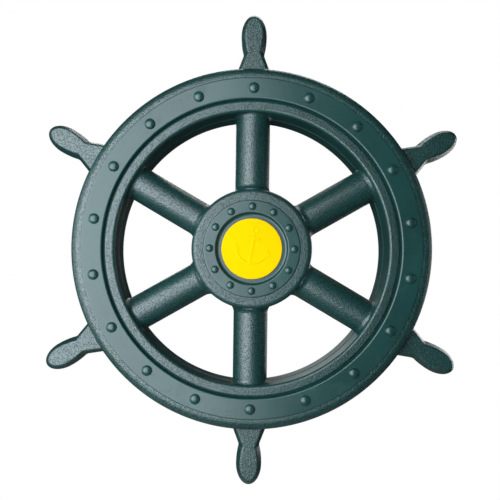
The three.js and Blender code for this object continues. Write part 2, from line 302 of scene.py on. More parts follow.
def modify(piece: Piece, kind: str, **settings: object) -> None:
    """Adds a modifier to a piece and applies it.

    Args:
        piece: The piece to change.
        kind: The modifier's type.
        **settings: Properties to set on it.
    """
    pick(piece)
    bpy.ops.object.modifier_add(type=kind)
    step = piece.modifiers[-1]
    for name, value in settings.items():
        setattr(step, name, value)
    bpy.ops.object.modifier_apply(modifier=step.name)


def soften(piece: Piece, width: float, segments: int = 2, sharpness: float = 30.0) -> None:
    """Rounds a piece's sharp edges.

    Args:
        piece: The piece to soften.
        width: Width of the rounding in millimetres.
        segments: Number of steps across the rounding.
        sharpness: Least angle between faces, in degrees, that counts as a sharp edge.
    """
    modify(
        piece, "BEVEL", width=width * MM, segments=segments, limit_method="ANGLE",
        angle_limit=math.radians(sharpness), harden_normals=False,
    )


def combine(piece: Piece, other: Piece, operation: str) -> None:
    """Joins (UNION) or cuts (DIFFERENCE) a piece with a closed shape, which is then removed."""
    modify(piece, "BOOLEAN", operation=operation, solver="EXACT", object=other)
    bpy.data.objects.remove(other)


def smooth(piece: Piece, angle: float = 35.0) -> None:
    """Shades a piece smooth across its soft edges, and keeps its broad flats truly flat.

    Args:
        piece: The piece to shade.
        angle: Greatest angle in degrees that still counts as a soft edge.
    """
    pick(piece)
    bpy.ops.object.shade_smooth_by_angle(angle=math.radians(angle))
    modify(piece, "WEIGHTED_NORMAL", weight=100, keep_sharp=True)


def finish_turning(
    name: str, section: Section, steps: int, width: float = 0.0, sharpness: float = 30.0
) -> Piece:
    """Turns a section, rounds its sharp edges and shades it smooth.

    Args:
        name: Name of the new piece.
        section: The closed half section.
        steps: Number of steps round the axis.
        width: Width of the rounding in millimetres, or 0 for none.
        sharpness: Least angle, in degrees, that counts as a sharp edge.

    Returns:
        The finished piece.
    """
    piece = turn(name, section, steps)
    if width:
        soften(piece, width, sharpness=sharpness)
    smooth(piece)
    return piece


def copy_round(piece: Piece, name: str, clockwise: float) -> Piece:
    """Copies a piece with its own mesh and turns the copy about the wheel's axis.

    Args:
        piece: The piece to copy.
        name: Name of the copy.
        clockwise: Angle in degrees, clockwise as seen from the front.

    Returns:
        The copy.
    """
    pick(piece)
    bpy.ops.object.duplicate(linked=False)
    copy = bpy.context.object
    copy.rotation_euler = (0.0, math.radians(clockwise), 0.0)
    return new_piece(name)


# ---- Shader wiring ----


class Wiring:
    """Adds and joins the nodes of one node tree."""

    def __init__(self, tree: bpy.types.NodeTree) -> None:
        """Starts wiring an existing tree."""
        self.tree = tree

    def feed(self, target: bpy.types.NodeSocket, source: object) -> None:
        """Feeds an input from a socket, or sets it to a plain value.

        Args:
            target: The input.
            source: A socket, a number or a tuple.
        """
        if isinstance(source, bpy.types.NodeSocket):
            self.tree.links.new(source, target)
        elif isinstance(source, tuple) and target.type == "RGBA":
            target.default_value = (*source, 1.0)
        else:
            target.default_value = source

    def add(
        self, kind: str, sources: dict[str, object] | dict[int, object] | None = None, **settings: object
    ) -> bpy.types.Node:
        """Adds a node.

        Args:
            kind: The node's type name.
            sources: What feeds its inputs, by their names or numbers.
            **settings: Properties to set on it.

        Returns:
            The new node.
        """
        node = self.tree.nodes.new(kind)
        for name, value in settings.items():
            setattr(node, name, value)
        for label, source in (sources or {}).items():
            self.feed(node.inputs[label], source)
        return node

    def calc(self, operation: str, *values: object) -> bpy.types.NodeSocket:
        """Adds a Math node and returns its result."""
        return self.add("ShaderNodeMath", dict(enumerate(values)), operation=operation).outputs[0]

    def ramp(
        self, value: object, low: float, high: float, start: float = 0.0, end: float = 1.0
    ) -> bpy.types.NodeSocket:
        """Maps a value smoothly from the range low to high to the range start to end."""
        sources = dict(enumerate((value, low, high, start, end)))
        return self.add("ShaderNodeMapRange", sources, interpolation_type="SMOOTHSTEP").outputs[0]

    def blend(self, amount: object, first: object, second: object) -> bpy.types.NodeSocket:
        """Mixes two colours, with the amount as the second one's share."""
        return self.add("ShaderNodeMix", {0: amount, 6: first, 7: second}, data_type="RGBA").outputs[2]

    def noise(
        self, place: object, scale: object, detail: float = 2.0, roughness: float = 0.5,
        distortion: float = 0.0,
    ) -> bpy.types.NodeSocket:
        """Adds a noise pattern.

        Args:
            place: Where on the surface, as a vector socket.
            scale: Number of its blotches per metre.
            detail: Number of finer layers.
            roughness: Strength of the finer layers.
            distortion: How far the blotches are drawn out of shape.

        Returns:
            The pattern, from about 0.2 to 0.8.
        """
        sources = {
            "Vector": place, "Scale": scale, "Detail": detail, "Roughness": roughness,
            "Distortion": distortion,
        }
        return self.add("ShaderNodeTexNoise", sources).outputs["Fac"]

    def bump(self, depth: float, height: object, under: object = None) -> bpy.types.NodeSocket:
        """Adds a bump.

        Args:
            depth: Height of the bumps in millimetres.
            height: Pattern of the bumps.
            under: Normal of the bumps that these lie on, if any.

        Returns:
            The normal.
        """
        sources = {"Distance": depth * MM, "Height": height}
        if under is not None:
            sources["Normal"] = under
        return self.add("ShaderNodeBump", sources).outputs[0]

    def about_axis(self, place: object) -> tuple[bpy.types.NodeSocket, bpy.types.NodeSocket]:
        """Reads a place about the wheel's axis.

        Args:
            place: Where on the surface, as a vector socket.

        Returns:
            Its distance from the axis and its place along it, in metres.
        """
        split = self.add("ShaderNodeSeparateXYZ", {0: place})
        squares = [self.calc("POWER", split.outputs[axis], 2.0) for axis in ("X", "Z")]
        return self.calc("SQRT", self.calc("ADD", *squares)), split.outputs["Y"]


class EffectGroup:
    """A shader node group with a place, named values and named outputs, built once and placed often."""

    name = ""
    values: dict[str, float] = {}
    outputs: tuple[str, ...] = ()

    def __init__(self) -> None:
        """Builds the group's tree."""
        self.tree = bpy.data.node_groups.new(self.name, "ShaderNodeTree")
        sockets = self.tree.interface
        sockets.new_socket("Place", in_out="INPUT", socket_type="NodeSocketVector")
        for label, value in self.values.items():
            socket = sockets.new_socket(label, in_out="INPUT", socket_type="NodeSocketFloat")
            socket.default_value = value
        for label in self.outputs:
            sockets.new_socket(label, in_out="OUTPUT", socket_type="NodeSocketFloat")
        wiring = Wiring(self.tree)
        source = wiring.add("NodeGroupInput")
        results = self.wire(wiring, source.outputs)
        wiring.add("NodeGroupOutput", dict(zip(self.outputs, results)))

    def wire(self, wiring: Wiring, given: bpy.types.NodeOutputs) -> tuple[bpy.types.NodeSocket, ...]:
        """Wires the effect.

        Args:
            wiring: The group's wiring.
            given: The group's inputs.

        Returns:
            One result for each output.
        """
        raise NotImplementedError

    def place(self, wiring: Wiring, **values: object) -> bpy.types.NodeOutputs:
        """Places the group in a material, with values for its inputs, and returns its outputs."""
        return wiring.add("ShaderNodeGroup", values, node_tree=self.tree).outputs


class MouldGrain(EffectGroup):
    """Pebbled leather grain from the mould's etched face."""

    name = "Mould grain"
    values = {"Pebbles": 600.0}
    outputs = ("Height", "Crease")

    def wire(self, wiring: Wiring, given: bpy.types.NodeOutputs) -> tuple[bpy.types.NodeSocket, ...]:
        """Wires rounded pebbles of two sizes with creases between them.

        Args:
            wiring: The group's wiring.
            given: Place, and Pebbles per metre.

        Returns:
            Height of the grain, and a mask of its creases.
        """
        place, density = given["Place"], given["Pebbles"]
        pebbles = wiring.add(
            "ShaderNodeTexVoronoi", {"Vector": place, "Scale": density, "Smoothness": 0.35},
            feature="SMOOTH_F1", voronoi_dimensions="3D",
        )
        fine = wiring.noise(place, wiring.calc("MULTIPLY", density, 0.8))
        crown = wiring.ramp(pebbles.outputs["Distance"], 0.1, 0.75, 1.0, 0.0)
        ruffle = wiring.ramp(fine, 0.3, 0.7)
        height = wiring.calc("ADD", wiring.calc("MULTIPLY", crown, 0.6), wiring.calc("MULTIPLY", ruffle, 0.4))
        return height, wiring.ramp(height, 0.15, 0.55, 1.0, 0.0)


class CloudyTone(EffectGroup):
    """Slow changes of tone across a moulded or rolled surface, and finer flow marks in them."""

    name = "Cloudy tone"
    values = {"Clouds": 16.0}
    outputs = ("Tone", "Smudge")

    def wire(self, wiring: Wiring, given: bpy.types.NodeOutputs) -> tuple[bpy.types.NodeSocket, ...]:
        """Wires broad clouds and small smudges.

        Args:
            wiring: The group's wiring.
            given: Place, and Clouds per metre.

        Returns:
            Tone of the clouds, and a mask of smudges.
        """
        clouds = wiring.noise(given["Place"], given["Clouds"], detail=4.0)
        finer = wiring.calc("MULTIPLY", given["Clouds"], 6.0)
        smudges = wiring.noise(given["Place"], finer, detail=3.0, distortion=0.8)
        return wiring.ramp(clouds, 0.3, 0.7), wiring.ramp(smudges, 0.52, 0.75)


class EdgeWear(EffectGroup):
    """Wear along proud edges, broken up so that it is not an even line."""

    name = "Edge wear"
    values = {"Breaks": 220.0}
    outputs = ("Worn",)

    def wire(self, wiring: Wiring, given: bpy.types.NodeOutputs) -> tuple[bpy.types.NodeSocket, ...]:
        """Wires a mask of convex edges times a broken pattern.

        Args:
            wiring: The group's wiring.
            given: Place, and Breaks per metre.

        Returns:
            Mask of the worn edges.
        """
        shape = wiring.add("ShaderNodeNewGeometry")
        proud = wiring.ramp(shape.outputs["Pointiness"], 0.54, 0.64)
        broken = wiring.ramp(wiring.noise(given["Place"], given["Breaks"]), 0.4, 0.62)
        return (wiring.calc("MULTIPLY", proud, broken),)


class RingZone(EffectGroup):
    """A ring-shaped zone about the wheel's axis."""

    name = "Ring zone"
    values = {"Inner": 0.0, "Outer": 1.0}
    outputs = ("Inside",)
    border = 0.4 * MM

    def wire(self, wiring: Wiring, given: bpy.types.NodeOutputs) -> tuple[bpy.types.NodeSocket, ...]:
        """Wires a mask from the distance to the axis.

        Args:
            wiring: The group's wiring.
            given: Place, and the Inner and Outer radius in metres.

        Returns:
            Mask that is 1 inside the ring.
        """
        radius, _ = wiring.about_axis(given["Place"])
        past_inner = wiring.calc("SUBTRACT", radius, given["Inner"])
        before_outer = wiring.calc("SUBTRACT", given["Outer"], radius)
        edges = [wiring.ramp(gap, -self.border, self.border) for gap in (past_inner, before_outer)]
        return (wiring.calc("MULTIPLY", *edges),)


@dataclass
class Effects:
    """All shader groups of the wheel."""

    grain: MouldGrain = field(default_factory=MouldGrain)
    tone: CloudyTone = field(default_factory=CloudyTone)
    wear: EdgeWear = field(default_factory=EdgeWear)
    zone: RingZone = field(default_factory=RingZone)


# ---- Finishes ----


class Finish:
    """A named material in one of the record's slots."""

    label: str
    slot: Slot

    def surface(self, effects: Effects, wiring: Wiring, place: bpy.types.NodeSocket) -> dict[str, object]:
        """Wires the surface.

        Args:
            effects: The shader groups.
            wiring: The material's wiring.
            place: The place on the surface.

        Returns:
            What feeds the shader's inputs, by name.
        """
        raise NotImplementedError

    def build(self, effects: Effects) -> bpy.types.Material:
        """Builds the material.

        Args:
            effects: The shader groups.

        Returns:
            The material.
        """
        material = bpy.data.materials.new(self.label)
        material.use_nodes = True
        wiring = Wiring(material.node_tree)
        shader = material.node_tree.nodes["Principled BSDF"]
        place = wiring.add("ShaderNodeTexCoord").outputs["Object"]
        for label, source in self.surface(effects, wiring, place).items():
            wiring.feed(shader.inputs[label], source)
        return material


@dataclass(frozen=True)
class MouldedPlastic(Finish):
    """Moulded plastic, smooth or with the mould's grain."""

    label: str
    slot: Slot
    colour: Colour
    shade: Colour
    worn: Colour
    roughness: float
    specular: float
    smudge_roughness: float = 0.09
    wear: float = 0.25
    worn_roughness: float = 0.08
    peel_size: float = 5.0
    peel_height: float = 0.012
    grain_size: float = 1.6
    grain_height: float = 0.0
    grain_zones: tuple[tuple[float, float], ...] = ()
    crown_gloss: float = 0.0
    bare_gloss: float = 0.05
    bare_roughness: float = 0.28
    # Colour of the painted shade in the grain's creases; crease_shade says how much of it is painted in.
    crease: Colour = (0.0, 0.0, 0.0)
    crease_shade: float = 0.7
    crease_roughness: float = 0.12

    def grain_mask(self, effects: Effects, wiring: Wiring, place: bpy.types.NodeSocket) -> object:
        """Says where the grain is.

        Args:
            effects: The shader groups.
            wiring: The material's wiring.
            place: The place on the surface.

        Returns:
            1 for everywhere, or a mask of the grained rings.
        """
        if not self.grain_zones:
            return 1.0
        masks = [
            effects.zone.place(wiring, Place=place, Inner=inner * MM, Outer=outer * MM)["Inside"]
            for inner, outer in self.grain_zones
        ]
        total = masks[0]
        for mask in masks[1:]:
            total = wiring.calc("MAXIMUM", total, mask)
        return total

    def surface(self, effects: Effects, wiring: Wiring, place: bpy.types.NodeSocket) -> dict[str, object]:
        """Wires the plastic: clouded colour, orange peel, and grain with glossy crowns and creases darkened
        by painted shade.

        Args:
            effects: The shader groups.
            wiring: The material's wiring.
            place: The place on the surface.

        Returns:
            What feeds the shader's inputs, by name.
        """
        tones = effects.tone.place(wiring, Place=place)
        worn = effects.wear.place(wiring, Place=place)["Worn"]
        colour = wiring.blend(tones["Tone"], self.colour, self.shade)
        roughness = wiring.calc("MULTIPLY_ADD", tones["Smudge"], self.smudge_roughness, self.roughness)
        peel = wiring.noise(place, 1 / (self.peel_size * MM), detail=1.0, roughness=0.55)
        normal = wiring.bump(self.peel_height, peel)
        coat = {}
        if self.grain_height:
            mask = self.grain_mask(effects, wiring, place)
            grain = effects.grain.place(wiring, Place=place, Pebbles=1 / (self.grain_size * MM))
            crease = wiring.calc("MULTIPLY", grain["Crease"], mask)
            # Painted shade: the grain's creases are blended towards the dark crease colour, standing in for
            # the shade in its valleys.
            colour = wiring.blend(wiring.calc("MULTIPLY", crease, self.crease_shade), colour, self.crease)
            roughness = wiring.calc("MULTIPLY_ADD", crease, self.crease_roughness, roughness)
            gloss = wiring.calc("MULTIPLY_ADD", crease, -self.crown_gloss, self.crown_gloss)
            normal = wiring.bump(self.grain_height, wiring.calc("MULTIPLY", grain["Height"], mask), normal)
            if self.grain_zones:
                bare = wiring.calc("SUBTRACT", 1.0, mask)
                roughness = wiring.calc("MULTIPLY_ADD", bare, self.bare_roughness - self.roughness, roughness)
                gloss = wiring.calc("MULTIPLY_ADD", bare, self.bare_gloss - self.crown_gloss, gloss)
            coat = {"Coat Weight": gloss, "Coat Roughness": self.roughness}
        return {
            **coat,
            "Base Color": wiring.blend(wiring.calc("MULTIPLY", worn, self.wear), colour, self.worn),
            "Roughness": wiring.calc("MULTIPLY_ADD", worn, self.worn_roughness, roughness),
            "Specular IOR Level": self.specular,
            "Normal": normal,
        }


@dataclass(frozen=True)
class GalvanisedSteel(Finish):
    """Hot-dip galvanised steel, with dull spangles and white bloom."""

    label: str = "Galvanised steel"
    slot: Slot = Slot.GALVANISED_STEEL
    colour: Colour = (0.42, 0.44, 0.45)
    shade: Colour = (0.26, 0.28, 0.29)
    bloom: Colour = (0.62, 0.64, 0.64)
    spangle_size: float = 7.0
    ripple_size: float = 3.0
    ripple_height: float = 0.03

    def surface(self, effects: Effects, wiring: Wiring, place: bpy.types.NodeSocket) -> dict[str, object]:
        """Wires the steel: spangles of mixed grey, bloom on smudges and edges, and faint ripples.

        Args:
            effects: The shader groups.
            wiring: The material's wiring.
            place: The place on the surface.

        Returns:
            What feeds the shader's inputs, by name.
        """
        tones = effects.tone.place(wiring, Place=place, Clouds=30.0)
        worn = effects.wear.place(wiring, Place=place)["Worn"]
        sources = {"Vector": place, "Scale": 1 / (self.spangle_size * MM)}
        spangles = wiring.add("ShaderNodeTexVoronoi", sources, feature="F1")
        facet = wiring.add("ShaderNodeSeparateColor", {0: spangles.outputs["Color"]})
        colour = wiring.blend(facet.outputs[0], self.colour, self.shade)
        colour = wiring.blend(wiring.calc("MULTIPLY", tones["Smudge"], 0.6), colour, self.bloom)
        colour = wiring.blend(wiring.calc("MULTIPLY", worn, 0.5), colour, self.bloom)
        roughness = wiring.ramp(facet.outputs[1], 0.0, 1.0, 0.36, 0.56)
        ripples = wiring.noise(place, 1 / (self.ripple_size * MM), detail=3.0, roughness=0.55)
        return {
            "Base Color": colour,
            "Metallic": 0.9,
            "Roughness": wiring.calc("MULTIPLY_ADD", tones["Smudge"], 0.2, roughness),
            "Normal": wiring.bump(self.ripple_height, ripples),
        }


@dataclass(frozen=True)
class TurnedSteel(Finish):
    """Bright plated steel with fine lathe marks."""

    label: str = "Bright steel"
    slot: Slot = Slot.BRIGHT_STEEL
    colour: Colour = (0.56, 0.57, 0.58)
    shade: Colour = (0.38, 0.39, 0.41)
    mark_spacing: float = 0.35
    mark_height: float = 0.01

    def surface(self, effects: Effects, wiring: Wiring, place: bpy.types.NodeSocket) -> dict[str, object]:
        """Wires the steel: clouded grey, and lathe marks about and along the axis.

        Args:
            effects: The shader groups.
            wiring: The material's wiring.
            place: The place on the surface.

        Returns:
            What feeds the shader's inputs, by name.
        """
        tones = effects.tone.place(wiring, Place=place, Clouds=60.0)
        worn = effects.wear.place(wiring, Place=place)["Worn"]
        along = wiring.calc("ADD", *wiring.about_axis(place))
        marks = wiring.calc("SINE", wiring.calc("MULTIPLY", along, FULL_TURN / (self.mark_spacing * MM)))
        colour = wiring.blend(tones["Tone"], self.colour, self.shade)
        return {
            "Base Color": wiring.blend(wiring.calc("MULTIPLY", worn, 0.4), colour, self.shade),
            "Metallic": 1.0,
            "Roughness": wiring.calc("MULTIPLY_ADD", tones["Smudge"], 0.15, 0.26),
            "Normal": wiring.bump(self.mark_height, marks),
        }


class Palette:
    """Every finish on the wheel, built once."""

    green: Colour = (0.008, 0.042, 0.037)
    green_shade: Colour = (0.006, 0.033, 0.029)
    # Painted shade for the grain's creases.
    green_painted_crease_shade: Colour = (0.002, 0.012, 0.011)
    green_worn: Colour = (0.05, 0.09, 0.085)

    def __init__(self) -> None:
        """Builds the shader groups and the materials."""
        self.effects = Effects()
        self.built: dict[Finish, bpy.types.Material] = {}
        self.smooth_green = MouldedPlastic(
            label="Smooth green plastic", slot=Slot.SMOOTH_GREEN, colour=self.green, shade=self.green_shade,
            worn=self.green_worn, roughness=0.28, specular=0.5,
        )
        self.grained_green = self.grained_plastic("Grained green plastic")
        self.yellow = MouldedPlastic(
            label="Yellow plastic", slot=Slot.YELLOW, colour=(0.80, 0.435, 0.0), shade=(0.77, 0.41, 0.0),
            worn=(0.85, 0.50, 0.0), roughness=0.45, specular=0.01,
        )
        self.black = MouldedPlastic(
            label="Black bearing plastic", slot=Slot.BLACK_PLASTIC, colour=(0.012, 0.013, 0.014),
            shade=(0.008, 0.008, 0.009), worn=(0.05, 0.05, 0.05), roughness=0.42, specular=0.5,
        )
        self.galvanised = GalvanisedSteel()
        self.bright = TurnedSteel()

    def grained_plastic(self, label: str, zones: tuple[tuple[float, float], ...] = ()) -> MouldedPlastic:
        """Pebbled green plastic of the shells, spokes and handles.

        Args:
            label: Name of the finish.
            zones: Inner and outer radii of the grained rings, or none where the grain is everywhere.

        Returns:
            The finish.
        """
        return MouldedPlastic(
            label=label, slot=Slot.GRAINED_GREEN, colour=self.green, shade=self.green_shade,
            crease=self.green_painted_crease_shade, worn=self.green_worn, roughness=0.30, specular=0.48, grain_height=0.26,
            grain_size=1.55, crown_gloss=0.5, grain_zones=zones,
        )

    def material(self, finish: Finish) -> bpy.types.Material:
        """Gives a finish's material, built at its first use."""
        if finish not in self.built:
            self.built[finish] = finish.build(self.effects)
        return self.built[finish]

    def dress(self, piece: Piece, finish: Finish, body: Body, *nodes: str) -> None:
        """Gives a finished piece its material and its body, and hides the CAD nodes it stands for.

        Args:
            piece: The piece.
            finish: Its finish.
            body: The body it moves with.
            *nodes: CAD nodes it stands for.
        """
        piece.data.materials.clear()
        piece.data.materials.append(self.material(finish))
        if nodes:
            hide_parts(*nodes)
        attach(piece, body.value)
        faces = len(piece.data.polygons)
        LOG.info("%s: %d faces, %s, rides on %s", piece.name, faces, finish.label, body.value)

    def dress_node(self, node: str, finish: Finish) -> None:
        """Gives a CAD node that stays its material.

        Args:
            node: Name of the CAD node.
            finish: Its finish.
        """
        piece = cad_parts[node]
        for slot in piece.material_slots:
            slot.material = self.material(finish)
        LOG.info("%s: CAD node, %s", node, finish.label)


def set_round(first: Piece, stem: str, count: int, palette: Palette) -> None:
    """Dresses a grained piece, then copies it evenly about the wheel's axis and dresses each copy.

    Args:
        first: The piece that stands straight up.
        stem: Name of its CAD node without the number.
        count: Number of pieces.
        palette: The finishes.
    """
    palette.dress(first, palette.grained_green, Body.WHEEL, f"{stem}_1")
    for index in range(1, count):
        node = f"{stem}_{index + 1}"
        copy = copy_round(first, f"{node}_fine", index * 360 / count)
        palette.dress(copy, palette.grained_green, Body.WHEEL, node)


# ---- The wheel's sub-assemblies ----


@dataclass
class Rim:
    """The hollow rim: a front and a rear shell, and the riveted band on its face."""

    steps: int = 240
    wall: float = 4.0
    lip_width: float = 11.0
    lip_radius: float = 3.5
    shoulder_radius: float = 10.5
    seat_gap: float = 0.15
    seat_depth: float = 3.0
    groove_top: float = 1.5
    groove_gap: float = 0.05
    parting_bead: float = 0.45
    parting_width: float = 0.9
    parting_slope: float = 0.6
    lip_outer_radius: float = 0.9
    band_outer_ease: Ease = Ease(3.6, 68.0)
    band_inner_ease: Ease = Ease(2.2, 30.0)
    back_groove: float = 0.9
    back_groove_half: float = 1.4
    back_groove_shift: float = 0.6
    grain_start: float = 1.2
    grain_past_lip: float = 0.1
    grain_off_band: float = 0.2
    grain_end: float = 0.6
    front: Reach = field(default_factory=lambda: Reach.of("rim_front_shell"))
    rear: Reach = field(default_factory=lambda: Reach.of("rim_rear_shell"))
    band: Reach = field(default_factory=lambda: Reach.of("rim_band"))

    def front_shell(self) -> Piece:
        """Models the front shell: shoulder, seat of the band, groove and lip."""
        inner, outer = self.front.inner, self.front.outer
        face, edge = self.front.front, self.front.back
        seat = face - self.seat_depth
        bead, slope = self.parting_bead, self.parting_slope * self.parting_width
        section = Section(outer, edge + self.parting_width)
        section.rounded(Corner.OUTER_FRONT, outer, face, self.shoulder_radius, 14)
        section.to(self.band.outer + self.seat_gap, face).to(self.band.outer + self.seat_gap, seat)
        lip_outer, cove_outer = inner + self.lip_width, self.band.inner - self.groove_gap
        section.to(cove_outer, seat)
        section.arc((lip_outer, face - self.groove_top), cove_outer - lip_outer, 0, -90, 8)
        section.rounded(Corner.OUTER_FRONT, lip_outer, face, self.lip_outer_radius, 4)
        section.rounded(Corner.INNER_FRONT, inner, face, self.lip_radius, 8)
        section.to(inner, edge + self.parting_width).to(inner - bead, edge + slope)
        section.to(inner - bead, edge).to(inner + self.wall, edge)
        section.to(inner + self.wall, seat - self.wall).to(outer - self.shoulder_radius, seat - self.wall)
        section.to(outer - self.wall, face - self.shoulder_radius).to(outer - self.wall, edge)
        section.to(outer + bead, edge).to(outer + bead, edge + slope).close()
        return finish_turning("rim_front_shell_fine", section, self.steps, 0.25, 50.0)

    def rear_shell(self) -> Piece:
        """Models the rear shell, with two shallow grooves on its back."""
        inner, outer = self.rear.inner, self.rear.outer
        back, edge = self.rear.back, self.rear.front
        bead, slope = self.parting_bead, self.parting_slope * self.parting_width
        section = Section(outer, edge - self.parting_width)
        section.to(outer + bead, edge - slope).to(outer + bead, edge)
        section.to(outer - self.wall, edge).to(outer - self.wall, back + self.shoulder_radius)
        section.to(outer - self.shoulder_radius, back + self.wall).to(inner + self.wall, back + self.wall)
        section.to(inner + self.wall, edge).to(inner - bead, edge)
        section.to(inner - bead, edge - slope).to(inner, edge - self.parting_width)
        section.rounded(Corner.INNER_BACK, inner, back, self.lip_radius, 8)
        half = self.back_groove_half
        for middle in (inner + self.lip_width + half, self.band.outer + self.back_groove_shift):
            section.to(middle - half, back).to(middle - half / 2, back + self.back_groove)
            section.to(middle + half / 2, back + self.back_groove).to(middle + half, back)
        section.rounded(Corner.OUTER_BACK, outer, back, self.shoulder_radius, 14).close()
        return finish_turning("rim_rear_shell_fine", section, self.steps, 0.35)

    def face_band(self) -> Piece:
        """Models the flat band with rounded borders."""
        band = self.band
        section = Section(band.inner, band.back).to(band.outer, band.back)
        section.eased_face(band, self.band_outer_ease, self.band_inner_ease).close()
        return finish_turning("rim_band_fine", section, self.steps)

    def build(self, palette: Palette) -> None:
        """Builds and dresses the rim.

        Args:
            palette: The finishes.
        """
        start, end = self.front.inner + self.grain_start, self.front.outer - self.grain_end
        lip = (start, self.front.inner + self.lip_width + self.grain_past_lip)
        shoulder = (self.band.outer + self.grain_off_band, end)
        back = (start, self.rear.outer - self.grain_end)
        front_finish = palette.grained_plastic("Green plastic, grained lip and shoulder", (lip, shoulder))
        rear_finish = palette.grained_plastic("Green plastic, grained back", (back,))
        palette.dress(self.front_shell(), front_finish, Body.WHEEL, "rim_front_shell")
        palette.dress(self.rear_shell(), rear_finish, Body.WHEEL, "rim_rear_shell")
        palette.dress(self.face_band(), palette.smooth_green, Body.WHEEL, "rim_band")


@dataclass
class Rivets:
    """Domed rivets, evenly spaced on a circle, the first one straight up."""

    prefix: str
    count: int
    head_radius: float
    head_height: float
    steps: int = 40
    rings: int = 11
    foot_height: float = 0.3
    seated: float = 0.25
    shank_share: float = 0.45

    def circle(self) -> float:
        """Radius of the circle that the rivets stand on, from the first rivet's box."""
        low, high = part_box(f"{self.prefix}_01")
        return (low.z + high.z) / 2 / MM

    def model(self) -> Piece:
        """Models the first rivet: shank, short foot and a dome with a broad crown."""
        node = f"{self.prefix}_01"
        low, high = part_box(node)
        tail, top = -high.y / MM, -low.y / MM
        under_head = top - self.head_height
        shank = self.shank_share * self.head_radius
        rise = self.head_height - self.foot_height
        section = Section(0.0, tail).to(shank, tail).to(shank, under_head - self.seated)
        section.to(self.head_radius, under_head - self.seated)
        for ring in range(self.rings + 1):
            climb = math.radians(90 * ring / self.rings)
            section.to(self.head_radius * math.cos(climb), top - rise * (1 - math.sin(climb)))
        piece = turn(f"{node}_fine", section, self.steps, off_axis=self.circle())
        smooth(piece, 50.0)
        return piece

    def build(self, palette: Palette) -> None:
        """Builds, copies and dresses the rivets.

        Args:
            palette: The finishes.
        """
        first = self.model()
        nodes = [f"{self.prefix}_{index + 1:02d}" for index in range(self.count)]
        copies = [
            copy_round(first, f"{node}_fine", index * 360 / self.count)
            for index, node in enumerate(nodes[1:], start=1)
        ]
        for piece, node in zip([first, *copies], nodes):
            palette.dress(piece, palette.smooth_green, Body.WHEEL, node)


def bowed(place: Vector, wall_radius: float, share: float) -> Vector:
    """Slides a place along Z so that a flat ring across Z comes to lie on a round wall about the axis.

    Args:
        place: The old place.
        wall_radius: Radius of the wall in metres.
        share: How much of the slide is made, from 0 to 1.

    Returns:
        The new place.
    """
    sag = wall_radius - math.sqrt(wall_radius**2 - place.x**2)
    return Vector((place.x, place.y, place.z - share * sag))


@dataclass
class Spokes:
    """Six round spokes, flared where they run into the hub and the rim."""

    count: int = 6
    radius: float = 19.65
    sides: int = 72
    hub_flare: float = 3.0
    hub_flare_length: float = 6.0
    rim_flare: float = 1.6
    rim_flare_length: float = 4.0
    flare_steps: int = 6
    buried: float = 2.5

    def stations(self, start: float, end: float) -> list[tuple[float, float]]:
        """Works out the rings of a spoke.

        Args:
            start: Radius of the hub's wall.
            end: Radius of the rim's inner wall.

        Returns:
            Distance from the axis and radius of each ring, in millimetres.
        """
        rings = [(start - self.buried, self.radius + self.hub_flare)]
        shares = [step / self.flare_steps for step in range(self.flare_steps + 1)]
        for share in shares:
            radius = self.radius + self.hub_flare * (1 - share) ** 2
            rings.append((start + share * self.hub_flare_length, radius))
        rings.append(((start + end) / 2, self.radius))
        for share in reversed(shares):
            radius = self.radius + self.rim_flare * (1 - share) ** 2
            rings.append((end - share * self.rim_flare_length, radius))
        rings.append((end + self.buried, self.radius + self.rim_flare))
        return rings

    def model(self) -> Piece:
        """Models the spoke that stands straight up."""
        hub_wall = Reach.of("hub_rear_shell").outer
        rim_wall = Reach.of("rim_rear_shell").inner
        low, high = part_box("spoke_1")
        middle = (low.y + high.y) / 2
        rings = self.stations(hub_wall, rim_wall)
        first_place, first_radius = rings[0]
        bpy.ops.object.select_all(action="DESELECT")
        bpy.ops.mesh.primitive_circle_add(
            vertices=self.sides, radius=first_radius * MM, fill_type="NGON",
            location=(0.0, middle, first_place * MM),
        )
        piece = new_piece("spoke_1_fine")
        with editing(piece):
            for (old_place, old_radius), (place, radius) in zip(rings, rings[1:]):
                step = Vector((0.0, 0.0, (place - old_place) * MM))
                bpy.ops.mesh.extrude_region_move(TRANSFORM_OT_translate={"value": step})
                growth = radius / old_radius
                bpy.ops.transform.resize(
                    value=(growth, growth, 1.0), center_override=(0.0, middle, place * MM)
                )
            halfway = (hub_wall + rim_wall) / 2 * MM
            reshape(piece, lambda place: self.fitted(place, hub_wall * MM, rim_wall * MM, halfway))
            close_up()
        smooth(piece)
        return piece

    @staticmethod
    def fitted(place: Vector, hub_wall: float, rim_wall: float, halfway: float) -> Vector:
        """Bows a place near an end to the round wall there.

        Args:
            place: The old place.
            hub_wall: Radius of the hub's wall in metres.
            rim_wall: Radius of the rim's inner wall in metres.
            halfway: Distance from the axis where the bow has died out.

        Returns:
            The new place.
        """
        if place.z < halfway:
            share = min(1.0, (halfway - place.z) / (halfway - hub_wall))
            return bowed(place, hub_wall, share)
        share = min(1.0, (place.z - halfway) / (rim_wall - halfway))
        return bowed(place, rim_wall, share)

    def build(self, palette: Palette) -> None:
        """Builds the spokes and dresses them from the palette."""
        set_round(self.model(), "spoke", self.count, palette)


